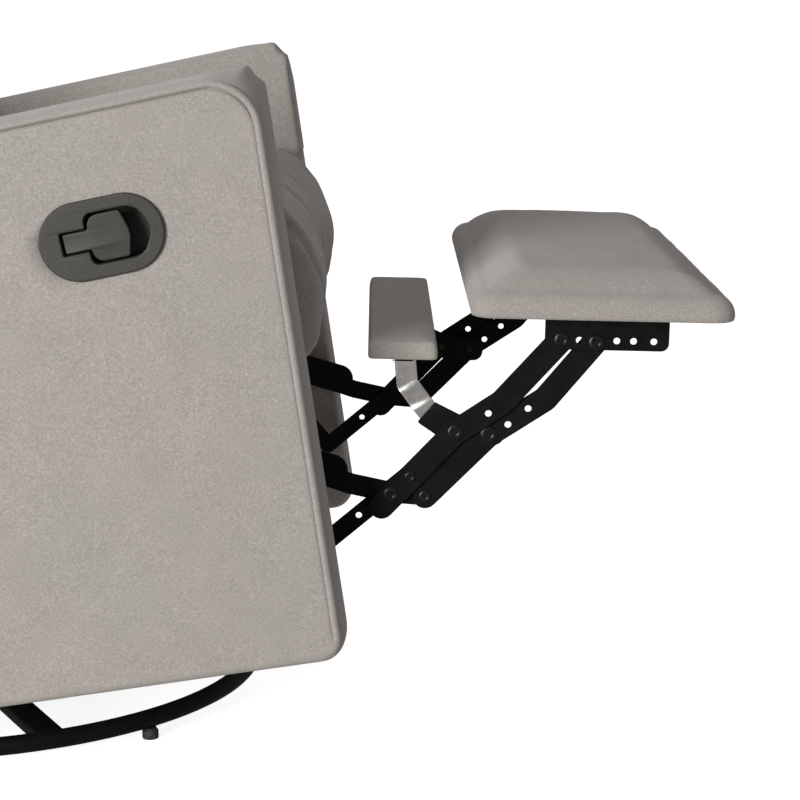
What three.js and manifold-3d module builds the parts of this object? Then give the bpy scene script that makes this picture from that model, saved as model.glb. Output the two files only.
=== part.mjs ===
// Glider nursery chair with its footrest open.
// Millimetres, +X forward, +Y to the sitter's left, +Z up.
// Origin on the floor under the centre of the ring base.
import * as THREE from "three";
import { mergeVertices } from "three/addons/utils/BufferGeometryUtils.js";
import Module from "manifold-3d";

// ---- driving dimensions -------------------------------------------------
const GAP = 0.3;
const SEAT_RAKE = THREE.MathUtils.degToRad(7.1);
const SEAT_LIFT = 71;

// Ring base and swivel.
const RING_RADIUS = 322;
const TUBE_RADIUS = 9.5;
const RING_HEIGHT = 21.5;
const BAR_ANGLES = [65, -65];
const BAR_WIDTH = 30;
const BAR_HEIGHT = 12;
const HUB_RADIUS = 88;
const HUB_TOP = 31;
const FOOT_RADIUS = 8.5;
const FOOT_ANGLES = [45, 135, 225, 315];
const PLATFORM_TOP = 43;
const PLATFORM = { length: 280, width: 234, thick: 6, disc: 82, discThick: 8, half: 13 };

// Glide: equal hangers, pivots given in x and z.
const HANGER_LENGTH = 100;
const HANGER_TOP = 205;
const HANGER_X = 110;
const HANGER_WIDTH = 26;
const UPRIGHT = { inner: 112, thick: 5 };
const HANGER = { inner: 118, thick: 4 };
const HANGER_PIN = { radius: 6, head: 10, headThick: 3 };
const CARRIAGE = { inner: 127, thick: 5, half: 16 };

// Arms, in the seat frame: u forward, w up from the arm's lower edge.
const ARM = { inner: 292, outer: 380, front: 438, rear: -312, rise: 0.064, top: 572 };
const ARM_TOP_RADIUS = 50;
const ARM_LOW_RADIUS = 22;
const ARM_EDGE = 10;
const FACING = { inset: 8, depth: 5.7, edge: 2 };
const REAR_RADIUS = 30;

// Handle, in the seat frame.
const HANDLE = { u: 272.9, w: 438.2, length: 119, height: 75, tilt: THREE.MathUtils.degToRad(3.6) };
const HANDLE_RIM = 4;
const CUP_DEPTH = 26;
const CUP_WALL = 2.5;

// Seat frame and cushion.
const SEAT_HALF = 289;
const SEAT_EDGE = 14;
// Side outline of the cushion: u, w and corner radius.
const SEAT_CORNERS = [
  [-33, 262, 18], [444, 262, 20], [470, 286, 20], [480, 346, 30],
  [471, 408, 30], [450, 448, 22], [-68, 450, 24],
];
const RAIL = { inner: 215, outer: 240, low: 207, high: 247, rear: -124, front: 350, lap: 5 };
const CROSS_SIZE = 25;
const DECK_THICK = 14.7;

// Backrest.
const BACK_PIVOT = { u: -120, w: 250 };
const BACK_LEAN = THREE.MathUtils.degToRad(10);
const BACK_HALF = 287;

// Footrest linkage: pivots of the open footrest in the seat frame.
const P1 = [501.9, 132.5];
const LINK_STEP = [33.3, -7.7];
const P1_TO_P3 = [72.1, 53.0];
const P1_TO_P5 = [189.3, 130.4];
const P1_TO_Q = [21.6, 14.9];
const B1 = [297.1, 231.6];
const LINK_THICK = 3;
const PIN_RADIUS = 4;
const PIN_CLEARANCE = 0.4;
// Inner faces of the link layers, counted from the chair's middle.
const LAYER = {
  strap: 256.5, mid: 260.5, lowLink: 265, crank: 269.5,
  frontLink: 274, rearLink: 278.5, bracket: 283, side: 288,
};
// Half widths of the links and the radius of their spare holes.
const HALF = { crank: 10.5, lowLink: 9.5, front: 12.5, mid: 13, strap: 11 };
const SPARE_RADIUS = 3.4;

// ---- looks ---------------------------------------------------------------
const FABRIC = new THREE.MeshStandardMaterial({ color: 0xaaa49e, roughness: 0.95 });
const STEEL = new THREE.MeshStandardMaterial({ color: 0x161616, roughness: 0.4, metalness: 0.6 });
const SILVER = new THREE.MeshStandardMaterial({ color: 0xa8a8a6, roughness: 0.35, metalness: 1 });
const PLASTIC = new THREE.MeshStandardMaterial({ color: 0x3c3a37, roughness: 0.5 });
const BOARD = new THREE.MeshStandardMaterial({ color: 0x8a6f4d, roughness: 0.8 });

// ---- solids --------------------------------------------------------------
const wasm = await Module();
wasm.setup();

function solid(geometry) {
  const bare = geometry.clone();
  bare.deleteAttribute("normal");
  bare.deleteAttribute("uv");
  const welded = mergeVertices(bare, 1e-4);
  return new wasm.Manifold(
    new wasm.Mesh({
      numProp: 3,
      vertProperties: new Float32Array(welded.attributes.position.array),
      triVerts: new Uint32Array(welded.index.array),
    }),
  );
}

function surface(body) {
  const mesh = body.getMesh();
  const geometry = new THREE.BufferGeometry();
  geometry.setAttribute("position", new THREE.BufferAttribute(Float32Array.from(mesh.vertProperties), 3));
  geometry.setIndex(new THREE.BufferAttribute(Uint32Array.from(mesh.triVerts), 1));
  geometry.computeVertexNormals();
  return geometry;
}

function join(bodies) {
  return bodies.reduce((whole, body) => whole.add(body));
}

function cut(body, tools) {
  return tools.reduce((rest, tool) => rest.subtract(tool), body);
}

// A shape in the u,w plane becomes a slab from y = low to y = high.
function slab(shape, low, high, segments = 4) {
  const geometry = new THREE.ExtrudeGeometry(shape, {
    depth: high - low, bevelEnabled: false, curveSegments: segments,
  });
  geometry.rotateX(Math.PI / 2);
  geometry.translate(0, high, 0);
  return geometry;
}

// The same slab with rounded edges inside the outline.
function pad(shape, low, high, edge, steps = 3, segments = 5) {
  const geometry = new THREE.ExtrudeGeometry(shape, {
    depth: high - low - 2 * edge, bevelEnabled: true, bevelThickness: edge, bevelSize: edge,
    bevelOffset: -edge, bevelSegments: steps, curveSegments: segments,
  });
  geometry.rotateX(Math.PI / 2);
  geometry.translate(0, high - edge, 0);
  return geometry;
}

function box(u0, u1, y0, y1, w0, w1) {
  const geometry = new THREE.BoxGeometry(u1 - u0, y1 - y0, w1 - w0);
  geometry.translate((u0 + u1) / 2, (y0 + y1) / 2, (w0 + w1) / 2);
  return geometry;
}

// A round pin or hole tool along y.
function pin(at, radius, low, high, segments = 10) {
  const geometry = new THREE.CylinderGeometry(radius, radius, high - low, segments);
  geometry.translate(at[0], (low + high) / 2, at[1]);
  return solid(geometry);
}

// A closed shape through corners, each rounded by its own radius.
function rounded(corners) {
  const shape = new THREE.Shape();
  const count = corners.length;
  corners.forEach(([u, w, radius], index) => {
    const before = corners[(index + count - 1) % count];
    const after = corners[(index + 1) % count];
    const here = new THREE.Vector2(u, w);
    const back = new THREE.Vector2(before[0], before[1]).sub(here).normalize();
    const ahead = new THREE.Vector2(after[0], after[1]).sub(here).normalize();
    const reach = radius / Math.tan(back.angleTo(ahead) / 2);
    const start = here.clone().addScaledVector(back, reach);
    const end = here.clone().addScaledVector(ahead, reach);
    if (index === 0) shape.moveTo(start.x, start.y);
    else shape.lineTo(start.x, start.y);
    if (radius > 0) shape.quadraticCurveTo(u, w, end.x, end.y);
  });
  shape.closePath();
  return shape;
}

// A stadium: a bar with round ends between two points.
function stadium(from, to, half) {
  const angle = Math.atan2(to[1] - from[1], to[0] - from[0]);
  const shape = new THREE.Shape();
  shape.absarc(to[0], to[1], half, angle - Math.PI / 2, angle + Math.PI / 2, false);
  shape.absarc(from[0], from[1], half, angle + Math.PI / 2, angle + 1.5 * Math.PI, false);
  shape.closePath();
  return shape;
}

// A flat link through a chain of points, drilled at its holes.
function link(chain, half, layer, holes = [], thick = LINK_THICK) {
  const bars = chain.slice(1).map((to, index) =>
    solid(slab(stadium(chain[index], to, half), -layer - thick, -layer, 4)));
  const drills = holes.map(([at, radius]) => pin(at, radius, -layer - thick - 1, -layer + 1));
  return cut(join(bars), drills);
}

function shift(point, step) {
  return [point[0] + step[0], point[1] + step[1]];
}

function mirrored(geometry) {
  const twin = geometry.clone();
  twin.scale(1, -1, 1);
  const order = twin.index.array;
  for (let i = 0; i < order.length; i += 3) [order[i], order[i + 1]] = [order[i + 1], order[i]];
  twin.computeVertexNormals();
  return twin;
}

// ---- scene graph ---------------------------------------------------------
const chair = new THREE.Group();
const seat = new THREE.Group();
seat.rotation.y = -SEAT_RAKE;
seat.position.z = SEAT_LIFT;
chair.add(seat);

function place(group, name, geometry, material) {
  const mesh = new THREE.Mesh(geometry, material);
  mesh.name = name;
  group.add(mesh);
}

// Right-hand piece (y below 0) and its mirror image on the left.
function placePair(group, name, body, material) {
  const geometry = surface(body);
  place(group, `${name}_right`, geometry, material);
  place(group, `${name}_left`, mirrored(geometry), material);
}

// A point given by x and z, in the seat frame.
function seatPoint(x, z) {
  const up = z - SEAT_LIFT;
  return [
    x * Math.cos(SEAT_RAKE) + up * Math.sin(SEAT_RAKE),
    -x * Math.sin(SEAT_RAKE) + up * Math.cos(SEAT_RAKE),
  ];
}

// ---- base ----------------------------------------------------------------
function baseRing() {
  const ring = new THREE.TorusGeometry(RING_RADIUS, TUBE_RADIUS, 8, 56);
  ring.translate(0, 0, RING_HEIGHT);
  const bars = BAR_ANGLES.map((angle) => {
    const bar = new THREE.BoxGeometry(2 * RING_RADIUS, BAR_WIDTH, BAR_HEIGHT);
    bar.rotateZ(THREE.MathUtils.degToRad(angle));
    bar.translate(0, 0, RING_HEIGHT);
    return solid(bar);
  });
  const hubLow = RING_HEIGHT - BAR_HEIGHT / 2;
  const hub = new THREE.CylinderGeometry(HUB_RADIUS, HUB_RADIUS, HUB_TOP - hubLow, 32);
  hub.rotateX(Math.PI / 2);
  hub.translate(0, 0, (HUB_TOP + hubLow) / 2);
  return surface(join([solid(ring), ...bars, solid(hub)]));
}

function foot(angle) {
  const top = RING_HEIGHT - TUBE_RADIUS - GAP;
  const profile = [[0, 0], [FOOT_RADIUS - 1, 0], [FOOT_RADIUS, 1], [FOOT_RADIUS, 9], [7, top], [0, top]];
  const geometry = new THREE.LatheGeometry(profile.map(([r, h]) => new THREE.Vector2(r, h)), 12);
  geometry.rotateX(Math.PI / 2);
  const turn = THREE.MathUtils.degToRad(angle);
  geometry.translate(RING_RADIUS * Math.cos(turn), RING_RADIUS * Math.sin(turn), 0);
  return geometry;
}

function swivelPlatform() {
  const { length, width, thick, disc: discRadius, discThick, half } = PLATFORM;
  const disc = new THREE.CylinderGeometry(discRadius, discRadius, discThick, 32);
  disc.rotateX(Math.PI / 2);
  disc.translate(0, 0, HUB_TOP + GAP + discThick / 2);
  const plate = box(-length / 2, length / 2, -width / 2, width / 2, PLATFORM_TOP - thick, PLATFORM_TOP);
  const parts = [solid(disc), solid(plate)];
  for (const side of [-1, 1]) {
    for (const x of [-HANGER_X, HANGER_X]) {
      const low = side < 0 ? -UPRIGHT.inner - UPRIGHT.thick : UPRIGHT.inner;
      const post = stadium([x, PLATFORM_TOP + 10], [x, HANGER_TOP], HANGER_WIDTH / 2);
      parts.push(solid(slab(post, low, low + UPRIGHT.thick)));
      const tab = box(x - half, x + half, low, low + UPRIGHT.thick, PLATFORM_TOP - 3, PLATFORM_TOP + 12);
      parts.push(solid(tab));
      parts.push(hangerPin(x, side));
    }
  }
  return surface(join(parts));
}

// The pin a hanger hangs on, with its head outside the hanger.
function hangerPin(x, side) {
  const { radius, head, headThick } = HANGER_PIN;
  const face = HANGER.inner + HANGER.thick + PIN_CLEARANCE;
  const end = face + headThick + 1;
  const shankSpan = side < 0 ? [-face - 1, -UPRIGHT.inner - 1] : [UPRIGHT.inner + 1, face + 1];
  const headSpan = side < 0 ? [-end, -face] : [face, end];
  return join([pin([x, HANGER_TOP], radius, ...shankSpan), pin([x, HANGER_TOP], head, ...headSpan)]);
}

function hanger(x) {
  const low = [x, HANGER_TOP - HANGER_LENGTH];
  const high = [x, HANGER_TOP];
  const hole = HANGER_PIN.radius + PIN_CLEARANCE;
  return link([low, high], HANGER_WIDTH / 2, HANGER.inner, [[low, hole], [high, hole]], HANGER.thick);
}

function addBase() {
  place(chair, "base_ring", baseRing(), STEEL);
  FOOT_ANGLES.forEach((angle, index) => place(chair, `foot_${index + 1}`, foot(angle), PLASTIC));
  place(chair, "swivel_platform", swivelPlatform(), STEEL);
  placePair(chair, "hanger_front", hanger(HANGER_X), STEEL);
  placePair(chair, "hanger_rear", hanger(-HANGER_X), STEEL);
}

// ---- seat frame ----------------------------------------------------------
function carriage(side) {
  const { inner: face, thick, half } = CARRIAGE;
  const parts = [];
  for (const x of [-HANGER_X, HANGER_X]) {
    const pivot = seatPoint(x, HANGER_TOP - HANGER_LENGTH);
    const top = [pivot[0], RAIL.low + CROSS_SIZE / 2];
    parts.push(solid(slab(stadium(pivot, top, half), -face - thick, -face)));
    parts.push(pin(pivot, HANGER_PIN.radius, -face - 1, -HANGER.inner - GAP));
    parts.push(solid(box(
      pivot[0] - half, pivot[0] + half, -RAIL.inner - RAIL.lap, -face, RAIL.low, RAIL.low + CROSS_SIZE)));
  }
  const body = join(parts);
  return side < 0 ? body : solid(mirrored(surface(body)));
}

function seatFrame() {
  const parts = [carriage(-1), carriage(1)];
  for (const side of [-1, 1]) {
    const [low, high] = side < 0 ? [-RAIL.outer, -RAIL.inner] : [RAIL.inner, RAIL.outer];
    parts.push(solid(box(RAIL.rear, RAIL.front, low, high, RAIL.low, RAIL.high)));
  }
  for (const u of [RAIL.rear, RAIL.front - CROSS_SIZE]) {
    const reach = RAIL.inner + RAIL.lap;
    parts.push(solid(box(u, u + CROSS_SIZE, -reach, reach, RAIL.low, RAIL.low + CROSS_SIZE)));
  }
  return surface(join(parts));
}

function seatDeck() {
  return box(-40, RAIL.front, -RAIL.outer, RAIL.outer, RAIL.high + GAP, RAIL.high + DECK_THICK);
}

function seatCushion() {
  return pad(rounded(SEAT_CORNERS), -SEAT_HALF, SEAT_HALF, SEAT_EDGE, 3, 4);
}

// ---- arms and handle -----------------------------------------------------
function armOutline(inset) {
  const top = (u) => ARM.top - inset + (u - ARM.front) * ARM.rise;
  const front = ARM.front - inset;
  const rear = ARM.rear + inset;
  return rounded([
    [rear, inset, REAR_RADIUS - inset], [front, inset, ARM_LOW_RADIUS - inset / 2],
    [front, top(front), ARM_TOP_RADIUS - inset / 2], [rear, top(rear), REAR_RADIUS - inset],
  ]);
}

function handlePoint(along, across) {
  const c = Math.cos(HANDLE.tilt);
  const s = Math.sin(HANDLE.tilt);
  return [HANDLE.u + along * c - across * s, HANDLE.w + along * s + across * c];
}

function handleStadium(grow) {
  const half = HANDLE.height / 2;
  const reach = HANDLE.length / 2 - half;
  return stadium(handlePoint(-reach, 0), handlePoint(reach, 0), half + grow);
}

function arm() {
  return solid(pad(armOutline(0), -ARM.outer, -ARM.inner, ARM_EDGE, 3, 5));
}

function facing() {
  const face = -ARM.outer - GAP;
  return solid(pad(armOutline(FACING.inset), face - FACING.depth, face, FACING.edge, 2, 5));
}

function addArms() {
  const cupHole = solid(slab(handleStadium(-6), -ARM.outer - 20, -ARM.outer + CUP_DEPTH + GAP, 8));
  place(seat, "arm_right", surface(arm().subtract(cupHole)), FABRIC);
  place(seat, "arm_left", mirrored(surface(arm())), FABRIC);
  place(seat, "facing_right", surface(facing().subtract(cupHole)), FABRIC);
  place(seat, "facing_left", mirrored(surface(facing())), FABRIC);
}

const PANEL_FACE = ARM.outer + GAP + FACING.depth;

// The rim and finger cup of the release handle.
function handleHousing() {
  const rimLow = -PANEL_FACE - GAP - HANDLE_RIM;
  const rim = solid(pad(handleStadium(0), rimLow, -PANEL_FACE - GAP, 1.5, 2, 8));
  const cup = solid(slab(handleStadium(-6.5), -PANEL_FACE - 1, -ARM.outer + CUP_DEPTH, 8));
  const hollowShape = rounded([
    [...handlePoint(-38.5, -11), 2], [...handlePoint(-13.5, -11), 1], [...handlePoint(-13.5, -24.5), 6],
    [...handlePoint(36, -24.5), 18], [...handlePoint(49, 0), 26], [...handlePoint(36, 24.5), 18],
    [...handlePoint(-13.5, 24.5), 6], [...handlePoint(-13.5, 11), 1], [...handlePoint(-38.5, 11), 2],
  ]);
  const hollow = solid(slab(hollowShape, rimLow - 1, -ARM.outer + CUP_DEPTH - CUP_WALL, 4));
  return surface(rim.add(cup).subtract(hollow));
}

// T-shaped paddle, hinged at the end of its narrow tab.
function paddle() {
  const shape = rounded([
    [...handlePoint(-36, -9.4), 2], [...handlePoint(-11.5, -9.4), 2], [...handlePoint(-11.5, -22.4), 7],
    [...handlePoint(22.5, -22.4), 3], [...handlePoint(27, -4), 12], [...handlePoint(26.5, 4), 6],
    [...handlePoint(21, 22.4), 3], [...handlePoint(-11.5, 22.4), 7], [...handlePoint(-11.5, 9.4), 2],
    [...handlePoint(-36, 9.4), 2],
  ]);
  const face = -PANEL_FACE - 2;
  return surface(solid(pad(shape, face, face + 7, 1.2, 2, 3)));
}

// ---- backrest ------------------------------------------------------------
// Points in the backrest's own frame: forward and up from its pivot.
function backPoint(forward, up, radius) {
  const c = Math.cos(BACK_LEAN);
  const s = Math.sin(BACK_LEAN);
  return [BACK_PIVOT.u + forward * c - up * s, BACK_PIVOT.w + forward * s + up * c, radius];
}

function backPad(front, rear, low, high, radius, edge) {
  const outline = rounded([
    backPoint(rear, low, radius), backPoint(front, low, radius),
    backPoint(front, high, radius), backPoint(rear, high, radius),
  ]);
  return pad(outline, -BACK_HALF, BACK_HALF, edge, 3, 5);
}

function addBackrest() {
  place(seat, "back_shell", backPad(-22, -92, 0, 740, 24, 14), FABRIC);
  place(seat, "back_cushion_lower", backPad(80, -22 + GAP, 4, 318, 44, 22), FABRIC);
  place(seat, "back_cushion_middle", backPad(80, -22 + GAP, 318 + GAP, 530, 44, 22), FABRIC);
  place(seat, "back_cushion_upper", backPad(88, -22 + GAP, 530 + GAP, 745, 48, 22), FABRIC);
}

// ---- footrest ------------------------------------------------------------
const P2 = shift(P1, LINK_STEP);
const P3 = shift(P1, P1_TO_P3);
const P4 = shift(P3, LINK_STEP);
const P5 = shift(P1, P1_TO_P5);
const P6 = shift(P5, LINK_STEP);
const Q = shift(P1, P1_TO_Q);
const B2 = shift(B1, P1_TO_Q);
const HOLE = PIN_RADIUS + PIN_CLEARANCE;
const TILT = Math.atan2(-(P6[1] - P5[1]), P6[0] - P5[0]) - THREE.MathUtils.degToRad(3.4);

// A rivet along y whose head is outside layer `from`, reaching into layer `to`.
function rivet(at, from, to, head = 7.5) {
  return join([
    pin(at, PIN_RADIUS, -LAYER[from] - LINK_THICK, -LAYER[to]),
    pin(at, head, -LAYER[from] - LINK_THICK - 1.4, -LAYER[from] - LINK_THICK + 0.5),
  ]);
}

function sidePlate() {
  const outline = rounded([
    [B1[0] - 110, B1[1] - 22, 8], [B1[0] + 8, B1[1] - 22, 12], [B2[0] + 22, B2[1] - 8, 10],
    [B2[0] + 14, B2[1] + 12, 8], [B1[0] - 110, B2[1] + 12, 8],
  ]);
  const plate = solid(slab(outline, -LAYER.side - LINK_THICK, -LAYER.side));
  const pins = [
    pin(B1, PIN_RADIUS, -LAYER.side - 1, -LAYER.crank),
    pin(B2, PIN_RADIUS, -LAYER.side - 1, -LAYER.lowLink),
  ];
  return join([plate, ...pins]);
}

// Upper rear link: from the seat to both front links.
function crank() {
  const bend = [462.5, 147.5];
  const bar = link([B1, bend, P1, P2], HALF.crank, LAYER.crank, [[B1, HOLE], [P1, HOLE], [P2, HOLE]]);
  return bar.add(link([B1, [442, 168]], 17, LAYER.crank, [[B1, HOLE]]));
}

// Lower rear link, kneed behind the arm.
function lowLink() {
  const knee = [421, 85];
  const spare = [466.7, 113.1];
  return link([B2, knee, Q], HALF.lowLink, LAYER.lowLink, [[B2, HOLE], [spare, 3.2], [Q, HOLE]]);
}

function rearFrontLink() {
  const tail = [P1[0] - 11, P1[1] - 11];
  const bend = [P1[0] + 122, P1[1] + 76];
  const spare = [P1[0] + 107.5, P1[1] + 67];
  const pins = [
    rivet(P1, "rearLink", "crank"), rivet(Q, "rearLink", "lowLink", 6), rivet(P3, "rearLink", "mid"),
  ];
  const chain = [tail, P1, P3, bend, P5];
  const bar = link(chain, HALF.front, LAYER.rearLink, [[spare, SPARE_RADIUS], [P5, HOLE]]);
  return join([bar, ...pins]);
}

function frontFrontLink() {
  const bend = [P2[0] + 132, P2[1] + 80];
  const spares = [[P2[0] + 92, P2[1] + 60], [P2[0] + 114, P2[1] + 73]];
  const bar = link([P2, P4, bend, P6], HALF.front, LAYER.frontLink,
    [...spares.map((at) => [at, SPARE_RADIUS]), [P6, HOLE]]);
  return join([bar, rivet(P2, "frontLink", "crank", 6), rivet(P4, "frontLink", "mid", 9)]);
}

function midBracket() {
  const tip = [P3[0] - 18, P3[1] + 15];
  return link([tip, P3, P4], HALF.mid, LAYER.mid, [[P3, HOLE], [P4, HOLE]]);
}

const SMALL_PAD = { u: 534.5, w: 270, length: 70, thick: 19, half: 255 };

// A point of the footrest's own plane, from a centre, along and above it.
function planePoint(centre, along, above, radius = 0) {
  const c = Math.cos(TILT);
  const s = Math.sin(TILT);
  return [centre[0] + along * c + above * s, centre[1] - along * s + above * c, radius];
}

function smallPad() {
  const { u, w, length, thick, half } = SMALL_PAD;
  const at = (along, above, radius) => planePoint([u, w], along, above, radius);
  const outline = rounded([
    at(-length / 2, -thick / 2, 7), at(length / 2, -thick / 2, 7),
    at(length / 2, thick / 2, 8), at(-length / 2, thick / 2, 8),
  ]);
  return pad(outline, -half, half, 4, 2, 3);
}

// Bright strap from the middle bracket up to the small pad.
function strap() {
  const { u, w, thick } = SMALL_PAD;
  const under = -thick / 2 - GAP;
  const foot = [P3[0] - 21, P3[1] + 18];
  const elbow = planePoint([u, w], 5, under - 24).slice(0, 2);
  const top = planePoint([u, w], 2, under - 8).slice(0, 2);
  const flangeShape = rounded([-22, 22].flatMap((along) => {
    const levels = along < 0 ? [under, under - 3] : [under - 3, under];
    return levels.map((above) => planePoint([u, w], along, above, 0.5));
  }));
  const head = rounded([
    planePoint([u, w], -HALF.strap, under - 20), planePoint([u, w], HALF.strap, under - 20),
    planePoint([u, w], HALF.strap, under - 0.4), planePoint([u, w], -HALF.strap, under - 0.4),
  ]);
  return join([
    link([foot, elbow, top], HALF.strap, LAYER.strap),
    solid(slab(head, -LAYER.strap - LINK_THICK, -LAYER.strap)),
    solid(slab(flangeShape, -LAYER.strap - LINK_THICK, -SMALL_PAD.half + 45, 2)),
  ]);
}

const MAIN_PAD = { along: 37, length: 258, under: 25.4, thick: 48, half: 330 };
const BRACKET = { rear: -17, front: 105.6, low: -9.5, flange: 24, holes: [17, 54, 70.5, 90.5] };

function bracket() {
  const { rear, front, low, flange: flangeWidth } = BRACKET;
  const high = MAIN_PAD.under - GAP;
  const lip = high - LINK_THICK;
  const at = (along, above, radius) => planePoint(P5, along, above, radius);
  const plate = solid(slab(
    rounded([at(rear, low, 8), at(front, low, 8), at(front, high, 1), at(rear, high, 1)]),
    -LAYER.bracket - LINK_THICK, -LAYER.bracket));
  const flange = solid(slab(
    rounded([at(rear, lip, 0.5), at(front, lip, 0.5), at(front, high, 0.5), at(rear, high, 0.5)]),
    -LAYER.bracket - 1, -LAYER.bracket + flangeWidth, 2));
  const holes = BRACKET.holes.map((along) =>
    pin(planePoint(P5, along, 0).slice(0, 2), SPARE_RADIUS, -LAYER.bracket - 4, -LAYER.bracket + 1));
  return join([
    cut(plate, holes), flange, rivet(P5, "bracket", "rearLink", 8), rivet(P6, "bracket", "frontLink", 8),
  ]);
}

function mainPad() {
  const { along, length, under, thick, half } = MAIN_PAD;
  const at = (offset, above, radius) => planePoint(P5, along + offset, above, radius);
  const outline = rounded([
    at(-length / 2, under, 15), at(length / 2, under, 15),
    at(length / 2, under + thick, 24), at(-length / 2, under + thick, 24),
  ]);
  return pad(outline, -half, half, 9, 3, 4);
}

function addFootrest() {
  placePair(seat, "side_plate", sidePlate(), STEEL);
  placePair(seat, "crank", crank(), STEEL);
  placePair(seat, "low_link", lowLink(), STEEL);
  placePair(seat, "rear_front_link", rearFrontLink(), STEEL);
  placePair(seat, "fore_front_link", frontFrontLink(), STEEL);
  placePair(seat, "mid_bracket", midBracket(), STEEL);
  placePair(seat, "strap", strap(), SILVER);
  place(seat, "small_pad", smallPad(), FABRIC);
  placePair(seat, "footrest_bracket", bracket(), STEEL);
  place(seat, "main_pad", mainPad(), FABRIC);
}

addBase();
place(seat, "seat_frame", seatFrame(), STEEL);
place(seat, "seat_deck", seatDeck(), BOARD);
place(seat, "seat_cushion", seatCushion(), FABRIC);
addArms();
place(seat, "handle_housing", handleHousing(), PLASTIC);
place(seat, "handle_paddle", paddle(), PLASTIC);
addBackrest();
addFootrest();

export default chair;
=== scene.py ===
import math

import bmesh
import bpy
import numpy as np
from mathutils import Matrix, Vector, noise


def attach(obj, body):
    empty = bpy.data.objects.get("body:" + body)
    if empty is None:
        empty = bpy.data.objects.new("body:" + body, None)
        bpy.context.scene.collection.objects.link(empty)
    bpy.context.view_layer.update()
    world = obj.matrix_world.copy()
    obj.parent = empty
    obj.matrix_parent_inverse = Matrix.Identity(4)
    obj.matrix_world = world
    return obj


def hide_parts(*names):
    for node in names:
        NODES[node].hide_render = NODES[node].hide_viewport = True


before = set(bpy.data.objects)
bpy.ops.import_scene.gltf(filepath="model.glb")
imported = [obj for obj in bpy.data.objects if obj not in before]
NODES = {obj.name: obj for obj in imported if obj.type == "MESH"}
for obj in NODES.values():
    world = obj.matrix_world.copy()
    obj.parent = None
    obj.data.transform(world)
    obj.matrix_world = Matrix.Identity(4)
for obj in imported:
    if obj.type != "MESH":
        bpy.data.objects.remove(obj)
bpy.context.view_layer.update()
SCENE = bpy.context.scene

# ---- sizes, as in the CAD part -------------------------------------------
MM = 0.001
SEAT_RAKE = math.radians(7.1)
SEAT_LIFT = 71
ARM = {"inner": 292, "outer": 380, "front": 438, "rear": -312, "rise": 0.064, "top": 572}
ARM_TOP_RADIUS = 50
CORNER = {"front": (440.5, 551.5), "top": (426, 571)}
ARM_LOW_RADIUS = 22
REAR_RADIUS = 30
PANEL_FACE = 386
HANDLE = {"u": 272.9, "w": 438.2, "length": 119, "height": 75, "tilt": math.radians(3.6)}
CUP_DEPTH = 26
RING = {"radius": 322, "tube": 9.5, "height": 21.5}
BAR = {"angles": (65, -65), "width": 30, "height": 12}
HUB = {"radius": 88, "top": 31}
FOOT = {"radius": 8.5, "angles": (45, 135, 225, 315)}
P1 = (501.9, 132.5)
LINK_STEP = (33.3, -7.7)
P1_TO_P3 = (72.1, 53.0)
P1_TO_P5 = (189.3, 130.4)
P1_TO_Q = (21.6, 14.9)
B1 = (297.1, 231.6)
LAYER = {"mid": 260.5, "low": 265, "crank": 269.5, "fore": 274, "rear": 278.5, "bracket": 283,
         "side": 288}
LINK_THICK = 3
PIN_RADIUS = 4
SMALL_PAD = {"u": 534.5, "w": 270, "along": 0, "length": 70, "under": -9.5, "thick": 19, "half": 255,
             "corner": 5, "soft": 4, "side": 17.4, "round": 4, "crown": 0.5, "bow": 0.4, "ripple": 0.25,
             "points": 300}
MAIN_PAD = {"along": 37, "length": 258, "under": 25.4, "thick": 44, "half": 330,
            "corner": 22, "soft": 6, "side": 25, "round": 17, "crown": 0.36, "bow": 4, "ripple": 0.9,
            "points": 460}
STRAP = {"half": 10.8, "thick": 2.5, "outer": 258, "inner": 245, "shelf": 42, "run": 25.9,
         "fold": (0.35, -0.936)}
BEND_CUTS = 19
BRACKET = {"start": -17, "end": 105.6, "low": -9.5, "holes": (17, 54, 70.5, 90.5), "flange": 27}
HALF = {"crank": 10.5, "low": 9.5, "front": 12.5, "wide": 17}
PLATE_BEVEL = 0.45
PIN_HOLE = 4.4
SPARE_HOLE = 3.4
GAP = 0.3
PAD_TILT = math.atan2(-LINK_STEP[1], LINK_STEP[0]) - math.radians(3.4)
PAD_UP = (math.sin(PAD_TILT), math.cos(PAD_TILT))
FLAT_AREA = 2e-6
CLOTH = {"quality": 4, "mass": 0.25, "tension_stiffness": 12, "compression_stiffness": 12,
         "bending_stiffness": 0.4, "use_pressure": True}
CLOTH_FRAMES = 20
SIDES = (("right", 1), ("left", -1))


def shift(point, step):
    return (point[0] + step[0], point[1] + step[1])


P2 = shift(P1, LINK_STEP)
P3 = shift(P1, P1_TO_P3)
P4 = shift(P3, LINK_STEP)
P5 = shift(P1, P1_TO_P5)
P6 = shift(P5, LINK_STEP)
Q = shift(P1, P1_TO_Q)
B2 = shift(B1, P1_TO_Q)

# The seat frame (u forward, y, w up, in mm) in the row frame.
SEAT = (
    Matrix.Translation((0, 0, SEAT_LIFT * MM))
    @ Matrix.Rotation(-SEAT_RAKE, 4, "Y")
    @ Matrix.Scale(MM, 4)
)


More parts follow.
